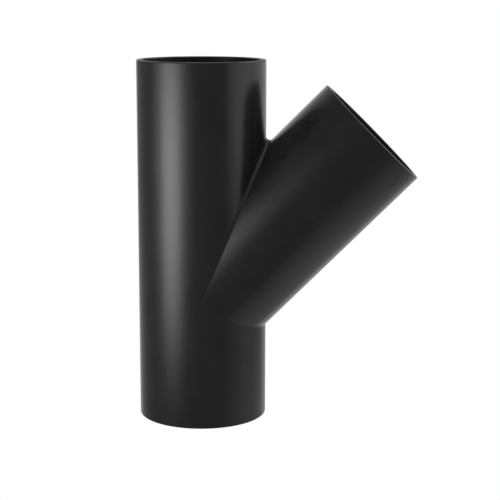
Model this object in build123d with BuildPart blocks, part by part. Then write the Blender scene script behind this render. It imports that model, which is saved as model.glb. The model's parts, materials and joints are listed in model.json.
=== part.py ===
from build123d import *
from math import cos, radians, sin
import os

# Lateral wye fitting for plain-ended plastic drain pipe, moulded in one piece.
# A straight run and a branch of the same size meet at an angle, with their axes crossing.
# Millimetres. +Z is up the run, the branch leans towards +X, and the origin is the centre
# of the run's lower end. The XZ plane cuts the fitting into two mirrored halves.

# Driving dimensions
PIPE_DIAMETER = 75.0  # outside of the run and of the branch
WALL = 3.0  # of both tubes
RUN_LENGTH = 210.0  # lower end to upper end
JUNCTION_HEIGHT = 70.0  # lower end to the point where the axes cross
BRANCH_REACH = 140.0  # that point to the branch's end, along its axis
BRANCH_ANGLE = 45.0  # between the branch and the upper part of the run, in degrees
CROTCH_RADIUS = 2.25  # blend along the outer joint line
INNER_ROUND = 0.8  # rounded edge along the inner joint line
RIM_CHAMFER = 0.4  # breaks the inner and outer edge of each square-cut end

# Sizes that follow
outer_radius = PIPE_DIAMETER / 2
bore_radius = outer_radius - WALL
core_overshoot = WALL  # the cores stand this far out of the ends

# Profile planes of the two tubes. A cylinder's surface closes on itself along the X
# direction of its plane. These directions keep that line off the sides of the junction,
# where the two tubes touch tangentially and the blend runs out to nothing.
lean = radians(BRANCH_ANGLE)
run_base = Plane(origin=(0, 0, 0), x_dir=(0, 1, 0), z_dir=(0, 0, 1))
branch_base = Plane(
    origin=(0, 0, JUNCTION_HEIGHT),
    x_dir=(-cos(lean), 0, sin(lean)),
    z_dir=(sin(lean), 0, cos(lean)),
)


def crossed_rods(radius, overshoot, blend):
    """The run and the branch as solid rods of one radius, blended along their joint line.

    The half on the -Y side is shaped first and then mirrored, because the joint line
    turns a corner in the middle plane.
    """
    with BuildPart() as rods:
        with BuildSketch(run_base.offset(-overshoot)):
            Circle(radius)
        extrude(amount=RUN_LENGTH + 2 * overshoot)
        with BuildSketch(branch_base):
            Circle(radius)
        extrude(amount=BRANCH_REACH + overshoot)
        split(bisect_by=Plane.XZ, keep=Keep.TOP)
        joint_line = rods.edges().filter_by(GeomType.ELLIPSE)
        fillet(joint_line, radius=blend)
        mirror(about=Plane.XZ)
    return rods.part


# The outside of the fitting, and the two crossing mould cores that leave its bores
outside = crossed_rods(outer_radius, 0, CROTCH_RADIUS)
cores = crossed_rods(bore_radius, core_overshoot, INNER_ROUND)

with BuildPart() as wye_body:
    add(outside)
    add(cores, mode=Mode.SUBTRACT)
    # The only flat faces are the three ring-shaped ends
    end_rings = wye_body.faces().filter_by(GeomType.PLANE)
    chamfer(end_rings.edges(), length=RIM_CHAMFER)

wye_body.part.label = "wye_body"

os.makedirs("parts", exist_ok=True)
export_step(wye_body.part, "parts/wye_body.step")
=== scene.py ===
import json
from math import cos, pi, radians, sin, tan

import bmesh
import bpy
from mathutils import Matrix, Vector


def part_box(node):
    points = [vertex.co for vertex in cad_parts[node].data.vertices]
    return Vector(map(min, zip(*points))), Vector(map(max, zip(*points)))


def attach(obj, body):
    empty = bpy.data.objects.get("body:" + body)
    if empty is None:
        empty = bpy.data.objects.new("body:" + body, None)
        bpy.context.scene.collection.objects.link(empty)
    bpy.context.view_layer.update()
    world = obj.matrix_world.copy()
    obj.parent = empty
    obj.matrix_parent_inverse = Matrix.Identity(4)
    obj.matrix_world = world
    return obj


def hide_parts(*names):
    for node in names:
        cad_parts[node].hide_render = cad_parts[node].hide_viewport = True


# Looks of a lateral wye fitting in black polyethylene: one moulded skin, its satin finish, and a
# plain white studio. Metres, in the row frame: +Z is up the run, and the branch leans towards +X.

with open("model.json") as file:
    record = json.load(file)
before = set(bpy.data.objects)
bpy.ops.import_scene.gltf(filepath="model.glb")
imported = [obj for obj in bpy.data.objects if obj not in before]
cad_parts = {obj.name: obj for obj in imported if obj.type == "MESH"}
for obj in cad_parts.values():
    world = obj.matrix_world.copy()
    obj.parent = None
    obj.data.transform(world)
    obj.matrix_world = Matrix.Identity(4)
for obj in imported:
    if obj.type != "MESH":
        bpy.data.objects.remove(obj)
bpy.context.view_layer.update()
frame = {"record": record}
mounts = {mount["name"]: mount for mount in frame["record"]["mounts"]}


def mount_point(name):
    return Vector(mounts[name]["pos_m"])


def mount_axis(name):
    return Vector(mounts[name]["axis"]).normalized()


# ---- Sizes, from the frame ----
low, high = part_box("wye_body")
OUTER = -low.x  # radius of both tubes
BORE = mounts["run_bore"]["dims"]["r_mm"] / 1000
UP = mount_axis("upper_end")
BRANCH = mount_axis("branch_end")
ACROSS = Vector((0, 1, 0))  # square to the plane that both axes lie in
RUN_TOP = mount_point("upper_end").z
REACH = mount_point("branch_end").x / BRANCH.x  # along the branch, from the crossing
CROSSING = mount_point("branch_end") - REACH * BRANCH
LEAN = UP.angle(BRANCH)
RIM_CHAMFER = REACH + OUTER - high.x / BRANCH.x

# ---- Rounds of the moulding ----
CROTCH_RADIUS = 0.00225  # along the outer joint line, as in the CAD solid
INNER_ROUND = 0.0008  # along the inner joint line, as in the CAD solid
RIM_ROUND = RIM_CHAMFER / (2 - 2**0.5)  # the round that just touches the chamfer

# ---- Mesh fineness ----
HALF_STEPS = 96  # columns in half a turn of a tube
BLEND_STEPS = 10  # across a blend
RIM_STEPS = 6  # across the round at a rim's edge
TUBE_ROWS = 8  # along a stretch of tube
WELD = 5e-7  # sheets meet within this, and their own points are further apart

# ---- Finish ----
DARK = (0.015, 0.015, 0.015, 1)  # the clouded black's two ends
PALE = (0.018, 0.018, 0.018, 1)
WORN_AND_RIM_HIGHLIGHT = (0.04, 0.04, 0.04, 1)  # where it is scuffed or cut; on the cut rims this lighter colour is also a painted highlight along the rim's edge
CLOUD = 0.03  # the size of each pattern's features
SCUFF = 0.012
STREAK = 0.0035
WAVE = 0.022
TOOL_MARK = 0.0006
DRAWING = 0.985  # share of a tube's length that the streaks take no notice of
GLOSSY, DULL = 0.225, 0.255  # roughness between the streaks and along them
SCUFF_GREY, SCUFF_DULL = 0.1, 0.015  # what a scuff adds
CUT_DULL = 0.14  # what a cut face adds
WAVE_DEPTH = 0.00002
STREAK_DEPTH = 0.000006
TOOL_MARK_DEPTH = 0.00001
PLASTIC_IOR = 1.5
PATTERN_DETAIL = 3.0  # octaves of finer noise in the clouds, streaks and scuffs
TOOL_MARK_DETAIL = 2.0
WAVE_DETAIL = 1.0
CLOUD_SPREAD = (0.35, 0.65)  # the noise levels over which each pattern comes in
SCUFF_SPREAD = (0.45, 0.75)
STREAK_SPREAD = (0.3, 0.7)
CUT_SPREAD = (0.3, 0.9)  # how squarely a rim faces out of its end, where the cut look comes in

# ---- Camera ----
# Rounded results of a fit to the photo's outline, made by a scratch script
EYE = Vector((0.0570, -0.7847, 0.2488))
YAW = radians(-2.1)
PITCH = radians(10.84)  # looking down
ROLL = radians(0.11)
LENS = 97.5  # mm
SENSOR = 36  # mm

# ---- Light ----
# The levels and the soft boxes began as a scratch script's least-squares fit to the photo. They were
# then rounded, and some strengths changed.
WHITE = 1.0  # what the camera sees behind and under the object
FLOOR_REACH = 6.0
# What the object sees in front of it and behind, above the horizon and below
FRONT_HIGH = 0.16
FRONT_LOW = 0.17
BACK_HIGH = 0.3
BACK_LOW = 0.6
BEHIND_FROM, BEHIND_TO = 0.1, 1.1  # over these, a direction's Y turns from front to back
BELOW_TO, BELOW_FROM = -0.4, -0.1  # and its Z from the low levels to the high ones
# Upright soft boxes round the run: azimuth in degrees from the camera's side towards its right,
# distance, half width, bottom, top, radiance, and softness of the edges
STANDING_BOXES = {
    "key_low": (-49, 0.30, 0.08, 0.00, 0.20, 3.6, 0.15),
    "key_high": (-50, 0.25, 0.10, 0.10, 0.18, 4.1, 0.30),
    "right_strip": (75, 0.40, 0.12, 0.00, 0.20, 0.2, 0.10),
    "right_near": (85, 0.25, 0.10, -0.30, 0.50, 0.3, 0.30),
    "right_low": (85, 0.30, 0.30, -0.70, -0.10, 0.2, 0.20),
    "right_wide": (100, 0.45, 0.55, 0.10, 0.20, 0.8, 0.25),
    "right_high": (105, 0.80, 0.40, 0.35, 0.85, 1.6, 0.10),
    "left_high": (-115, 0.70, 0.05, 0.35, 0.70, 2.4, 0.15),
    "left_back_high": (-150, 0.70, 0.30, 0.30, 0.80, 0.2, 0.20),
    "back_low": (180, 0.60, 0.50, -0.60, -0.05, 0.2, 0.20),
    "backdrop": (180, 1.00, 0.50, -0.10, 0.50, 0.5, 0.20),
    "front_high": (35, 0.60, 0.40, 0.45, 1.20, 0.5, 0.20),
}
OVERHEAD_CENTRE = Vector((0.1, -0.05, 1.2))
OVERHEAD_HALF = 0.45
OVERHEAD_RADIANCE = 0.6
OVERHEAD_SOFTNESS = 0.3


# ---- The moulded skin ----
class Skin:
    """Points with their true normals and what the finish needs, and faces between them."""

    def __init__(self):
        self.points = []
        self.normals = []
        self.grain = []
        self.cut = []
        self.radius = []
        self.faces = []

    def vertex(self, point, normal, grain, cut=0.0, radius=0.0):
        self.points.append(point)
        self.normals.append(normal)
        self.grain.append(grain)
        self.cut.append(cut)
        self.radius.append(radius)
        return len(self.points) - 1

    def face(self, corners):
        """One face, wound to look the way its normals do."""
        a, b, c, d = (self.points[i] for i in corners)
        outward = sum((self.normals[i] for i in corners), Vector())
        if (c - a).cross(d - b).dot(outward) < 0:
            corners = corners[::-1]
        self.faces.append(corners)

    def sheet(self, rows):
        """Faces between rows of vertices, all of one length."""
        index = [[self.vertex(*corner) for corner in row] for row in rows]
        for near, far in zip(index, index[1:]):
            for corners in zip(near, near[1:], far[1:], far):
                self.face(corners)


def turn(facing, angle):
    """The direction at an angle from a tube's facing side, round its axis."""
    return cos(angle) * facing + sin(angle) * ACROSS


def mix(a, b, t):
    return a + (b - a) * t


def slerp(a, b, t):
    whole = a.angle(b, 0.0)
    if whole == 0.0:
        return a.copy()
    return (sin((1 - t) * whole) * a + sin(t * whole) * b) / sin(whole)


def steps(count):
    return [k / count for k in range(count + 1)]


def drawn_out(point, axis):
    """A place in which the finish's streaks run along a tube's axis."""
    offset = point - CROSSING
    return offset - DRAWING * offset.dot(axis) * axis


def wall(axis, radius, side, directions, starts, end):
    """Rows up a stretch of tube, from the joint line to the free end."""
    rows = []
    for t in steps(TUBE_ROWS):
        row = []
        for out, start in zip(directions, starts):
            point = CROSSING + mix(start, end, t) * axis + radius * out
            row.append((point, side * out, drawn_out(point, axis)))
        rows.append(row)
    return rows


def crossed_tubes(skin, radius, blend, side):
    """The skin of two crossing tubes, blended along their joint line by a rolling ball.

    side is 1 for the outside of the fitting and -1 for its bores.
    """
    half_turn = [pi * (t - 0.5) for t in steps(HALF_STEPS)]
    branch_end = REACH - RIM_ROUND
    # The joint's two sides: the crotch, under the upper run, and the heel, over the lower run
    for axis, spread, end in (
        (UP, LEAN, RUN_TOP - CROSSING.z - RIM_ROUND),
        (-UP, pi - LEAN, CROSSING.z - RIM_ROUND),
    ):
        towards_branch = (BRANCH - BRANCH.dot(axis) * axis).normalized()
        towards_run = (axis - axis.dot(BRANCH) * BRANCH).normalized()
        run_out = [turn(towards_branch, angle) for angle in half_turn]
        branch_out = [turn(towards_run, angle) for angle in half_turn]
        far_out = [turn(-towards_branch, angle) for angle in half_turn]
        starts = [(radius + blend) * cos(angle) / tan(spread / 2) for angle in half_turn]
        skin.sheet(wall(axis, radius, side, run_out, starts, end))
        skin.sheet(wall(BRANCH, radius, side, branch_out, starts, branch_end))
        # The far side of the run, which the branch doesn't meet
        skin.sheet(wall(axis, radius, side, far_out, [0.0] * len(far_out), end))
        rows = []
        for t in steps(BLEND_STEPS):
            row = []
            for run_way, branch_way, start in zip(run_out, branch_out, starts):
                ball = CROSSING + start * axis + (radius + blend) * run_way
                way = slerp(-run_way, -branch_way, t)
                point = ball + blend * way
                grain = mix(drawn_out(point, axis), drawn_out(point, BRANCH), t)
                row.append((point, -side * way, grain))
            rows.append(row)
        skin.sheet(rows)


def rim(skin, centre, axis):
    """One square-cut end: the ring between the outer and inner walls, with two soft edges."""
    facing = axis.cross(ACROSS).normalized()
    profile = []
    for edge, side in ((OUTER, 1), (BORE, -1)):
        arc = []
        for t in steps(RIM_STEPS):
            out, forward = side * cos(pi / 2 * t), sin(pi / 2 * t)
            radius = edge - side * RIM_ROUND + RIM_ROUND * out
            arc.append((radius, RIM_ROUND * (forward - 1), out, forward))
        profile += arc[::side]
    rows = []
    for radius, along, out, forward in profile:
        row = []
        for t in steps(2 * HALF_STEPS):
            way = turn(facing, pi * (2 * t - 0.5))
            point = centre + along * axis + radius * way
            normal = out * way + forward * axis
            row.append((point, normal, drawn_out(point, axis), forward, radius))
        rows.append(row)
    skin.sheet(rows)


def welded(mesh):
    """Joins the sheets along their edges, and closes the faces that have run out to nothing."""
    shape = bmesh.new()
    shape.from_mesh(mesh)
    bmesh.ops.remove_doubles(shape, verts=shape.verts, dist=WELD)
    shape.to_mesh(mesh)
    shape.free()


def moulded_skin():
    skin = Skin()
    crossed_tubes(skin, OUTER, CROTCH_RADIUS, 1)
    crossed_tubes(skin, BORE, INNER_ROUND, -1)
    rim(skin, mount_point("lower_end"), -UP)
    rim(skin, mount_point("upper_end"), UP)
    rim(skin, mount_point("branch_end"), BRANCH)
    mesh = bpy.data.meshes.new("wye_skin")
    mesh.from_pydata(skin.points, [], skin.faces)
    for name, places in (("grain_place", skin.grain), ("true_normal", skin.normals)):
        stored = mesh.attributes.new(name, "FLOAT_VECTOR", "POINT")
        stored.data.foreach_set("vector", [c for place in places for c in place])
    for name, values in (("cut_face", skin.cut), ("cut_radius", skin.radius)):
        mesh.attributes.new(name, "FLOAT", "POINT").data.foreach_set("value", values)
    welded(mesh)
    true_normals = mesh.attributes["true_normal"]
    normals = [tuple(item.vector) for item in true_normals.data]
    mesh.attributes.remove(true_normals)
    mesh.polygons.foreach_set("use_smooth", [True] * len(mesh.polygons))
    mesh.normals_split_custom_set_from_vertices(normals)
    mesh.update()
    piece = bpy.data.objects.new("wye_skin", mesh)
    bpy.context.scene.collection.objects.link(piece)
    return piece


# ---- Materials ----
class Graph:
    """The node tree of a material or world, with its usual nodes in one line each."""

    def __init__(self, owner):
        owner.use_nodes = True
        self.tree = owner.node_tree
        self.nodes = self.tree.nodes

    def node(self, kind, **settings):
        made = self.nodes.new(kind)
        for name, value in settings.items():
            setattr(made, name, value)
        return made

    def put(self, socket, value):
        """Sets a socket, or links it where the value is another node's socket."""
        if isinstance(value, bpy.types.NodeSocket):
            self.tree.links.new(value, socket)
        else:
            socket.default_value = value

    def made(self, kind, values, **settings):
        """The first output of a node whose first inputs take the values."""
        node = self.node(kind, **settings)
        for socket, value in zip(node.inputs, values):
            self.put(socket, value)
        return node.outputs[0]

    def math(self, operation, *values):
        return self.made("ShaderNodeMath", values, operation=operation)

    def ramp(self, value, low, high, bottom=0.0, top=1.0):
        """Smoothly from bottom, where value is low, to top, where it is high."""
        given = (value, low, high, bottom, top)
        return self.made("ShaderNodeMapRange", given, interpolation_type="SMOOTHSTEP")

    def noise(self, place, size, detail):
        """Noise from 0 to 1, with features of the given size in metres."""
        node = self.node("ShaderNodeTexNoise")
        node.inputs["Scale"].default_value = 1 / size
        node.inputs["Detail"].default_value = detail
        self.put(node.inputs["Vector"], place)
        return node.outputs["Fac"]

    def blend(self, share, first, second):
        """Between two colours."""
        node = self.node("ShaderNodeMix", data_type="RGBA")
        colours = [socket for socket in node.inputs if socket.type == "RGBA"]
        self.put(node.inputs["Factor"], share)
        self.put(colours[0], first)
        self.put(colours[1], second)
        return next(socket for socket in node.outputs if socket.type == "RGBA")

    def relief(self, height, depth, under=None):
        """A normal bent by a height of 0 to 1, depth metres deep, over the relief under it."""
        node = self.node("ShaderNodeBump")
        node.inputs["Distance"].default_value = depth
        self.put(node.inputs["Height"], height)
        if under is not None:
            self.put(node.inputs["Normal"], under)
        return node.outputs["Normal"]

    def glow(self, radiance):
        """White light of the given radiance."""
        node = self.node("ShaderNodeEmission")
        node.inputs["Color"].default_value = (1, 1, 1, 1)
        self.put(node.inputs["Strength"], radiance)
        return node.outputs[0]

    def surface(self, shader):
        self.put(self.node("ShaderNodeOutputMaterial").inputs["Surface"], shader)


def black_polyethylene():
    """Satin moulded plastic: clouded near-black, faint draw streaks, scuffs and faced ends, whose
    lighter colour is partly a painted rim highlight.
    """
    material = bpy.data.materials.new("black_polyethylene")
    graph = Graph(material)
    shader = graph.nodes["Principled BSDF"]
    place = graph.node("ShaderNodeTexCoord").outputs["Object"]
    streaked = graph.node("ShaderNodeAttribute", attribute_name="grain_place").outputs["Vector"]
    cut = graph.node("ShaderNodeAttribute", attribute_name="cut_face").outputs["Fac"]
    radius = graph.node("ShaderNodeAttribute", attribute_name="cut_radius").outputs["Fac"]

    clouds = graph.ramp(graph.noise(place, CLOUD, PATTERN_DETAIL), *CLOUD_SPREAD)
    streaks = graph.noise(streaked, STREAK, PATTERN_DETAIL)
    scuffs = graph.ramp(graph.noise(place, SCUFF, PATTERN_DETAIL), *SCUFF_SPREAD)
    faced = graph.ramp(cut, *CUT_SPREAD)
    turned = graph.noise(radius, TOOL_MARK, TOOL_MARK_DETAIL)
    tool_marks = graph.math("MULTIPLY", turned, faced)

    scuffed = graph.math("MULTIPLY", scuffs, SCUFF_GREY)
    moulded = graph.blend(scuffed, graph.blend(clouds, DARK, PALE), WORN_AND_RIM_HIGHLIGHT)
    # The faced ends take the lighter colour: partly the cut look, partly a painted highlight along
    # the rims
    graph.put(shader.inputs["Base Color"], graph.blend(faced, moulded, WORN_AND_RIM_HIGHLIGHT))

    gloss = graph.ramp(streaks, *STREAK_SPREAD, GLOSSY, DULL)
    gloss = graph.math("MULTIPLY_ADD", scuffs, SCUFF_DULL, gloss)
    graph.put(shader.inputs["Roughness"], graph.math("MULTIPLY_ADD", faced, CUT_DULL, gloss))

    waves = graph.relief(graph.noise(place, WAVE, WAVE_DETAIL), WAVE_DEPTH)
    drawn = graph.relief(streaks, STREAK_DEPTH, waves)
    graph.put(shader.inputs["Normal"], graph.relief(tool_marks, TOOL_MARK_DEPTH, drawn))
    shader.inputs["IOR"].default_value = PLASTIC_IOR
    return material


# ---- Studio ----
def panel(name, centre, across, upward, half_width, half_height):
    """A flat stage piece and its empty material."""
    reach = ((-1, -1), (1, -1), (1, 1), (-1, 1))
    corners = [centre + u * half_width * across + v * half_height * upward for u, v in reach]
    mesh = bpy.data.meshes.new(name)
    mesh.from_pydata(corners, [], [(0, 1, 2, 3)])
    made = bpy.data.objects.new(name, mesh)
    bpy.context.scene.collection.objects.link(made)
    material = bpy.data.materials.new(name)
    mesh.materials.append(material)
    graph = Graph(material)
    graph.nodes.clear()
    return made, graph


def white_floor():
    """A plain white floor, which lights nothing and isn't seen in the object's reflections."""
    floor, graph = panel("floor", Vector(), Vector((1, 0, 0)), ACROSS, FLOOR_REACH, FLOOR_REACH)
    graph.surface(graph.glow(WHITE))
    floor.visible_glossy = False
    floor.visible_diffuse = False
    floor.visible_shadow = False


def soft_box(name, centre, across, upward, half_width, half_height, radiance, softness):
    """A glowing panel that fades out over softness at its edges."""
    margin = softness / 2
    reach = (half_width + margin, half_height + margin)
    box, graph = panel(name, centre, across, upward, *reach)
    place = graph.node("ShaderNodeTexCoord").outputs["Object"]
    strength = radiance
    for direction, half in ((across, half_width), (upward, half_height)):
        dot = graph.node("ShaderNodeVectorMath", operation="DOT_PRODUCT")
        graph.put(dot.inputs[0], place)
        graph.put(dot.inputs[1], direction)
        aside = graph.math("SUBTRACT", dot.outputs["Value"], centre.dot(direction))
        for side in (1, -1):
            outwards = graph.math("MULTIPLY", aside, side)
            fade = graph.ramp(outwards, half - margin, half + margin, 1.0, 0.0)
            strength = graph.math("MULTIPLY", fade, strength)
    # Clear as well as glowing, so that panels behind each other add up
    clear = graph.node("ShaderNodeBsdfTransparent").outputs[0]
    graph.surface(graph.made("ShaderNodeAddShader", (graph.glow(strength), clear)))
    box.visible_camera = False
    box.visible_shadow = False


def standing_box(name, azimuth, distance, half_width, bottom, top, radiance, softness):
    """An upright soft box that faces the run."""
    bearing = radians(azimuth)
    out = Vector((sin(bearing), -cos(bearing), 0))
    across = Vector((cos(bearing), sin(bearing), 0))
    centre = distance * out + (bottom + top) / 2 * UP
    soft_box(name, centre, across, UP, half_width, (top - bottom) / 2, radiance, softness)


def surroundings():
    """White for the camera. What the object sees is a dim studio, lighter low down and behind."""
    world = bpy.data.worlds.new("studio")
    bpy.context.scene.world = world
    graph = Graph(world)
    direction = graph.node("ShaderNodeTexCoord").outputs["Generated"]
    parts = graph.node("ShaderNodeSeparateXYZ")
    graph.put(parts.inputs[0], direction)
    behind = graph.ramp(parts.outputs["Y"], BEHIND_FROM, BEHIND_TO)
    below = graph.ramp(parts.outputs["Z"], BELOW_TO, BELOW_FROM, 1.0, 0.0)
    above_level = graph.math("MULTIPLY_ADD", behind, BACK_HIGH - FRONT_HIGH, FRONT_HIGH)
    below_level = graph.math("MULTIPLY_ADD", behind, BACK_LOW - FRONT_LOW, FRONT_LOW)
    difference = graph.math("SUBTRACT", below_level, above_level)
    level = graph.math("MULTIPLY_ADD", below, difference, above_level)
    seen = graph.node("ShaderNodeLightPath").outputs["Is Camera Ray"]
    strength = graph.math("MULTIPLY_ADD", seen, graph.math("SUBTRACT", WHITE, level), level)
    sky = graph.nodes["Background"]
    sky.inputs["Color"].default_value = (1, 1, 1, 1)
    graph.put(sky.inputs["Strength"], strength)


def place_camera():
    camera = bpy.data.objects.new("camera", bpy.data.cameras.new("camera"))
    bpy.context.scene.collection.objects.link(camera)
    forward = Vector((sin(YAW) * cos(PITCH), cos(YAW) * cos(PITCH), -sin(PITCH)))
    level = Vector((cos(YAW), -sin(YAW), 0))
    upward = level.cross(forward)
    right = cos(ROLL) * level + sin(ROLL) * upward
    top = cos(ROLL) * upward - sin(ROLL) * level
    turned = Matrix((right, top, -forward)).transposed().to_4x4()
    camera.matrix_world = Matrix.Translation(EYE) @ turned
    camera.data.lens = LENS
    camera.data.sensor_width = SENSOR
    bpy.context.scene.camera = camera


wye = moulded_skin()
wye.data.materials.append(black_polyethylene())
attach(wye, "root")
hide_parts("wye_body")

white_floor()
for box_name, box_sizes in STANDING_BOXES.items():
    standing_box(box_name, *box_sizes)
soft_box(
    "overhead", OVERHEAD_CENTRE, Vector((1, 0, 0)), ACROSS,
    OVERHEAD_HALF, OVERHEAD_HALF, OVERHEAD_RADIANCE, OVERHEAD_SOFTNESS,
)
surroundings()
place_camera()
bpy.context.scene.view_settings.view_transform = "Standard"
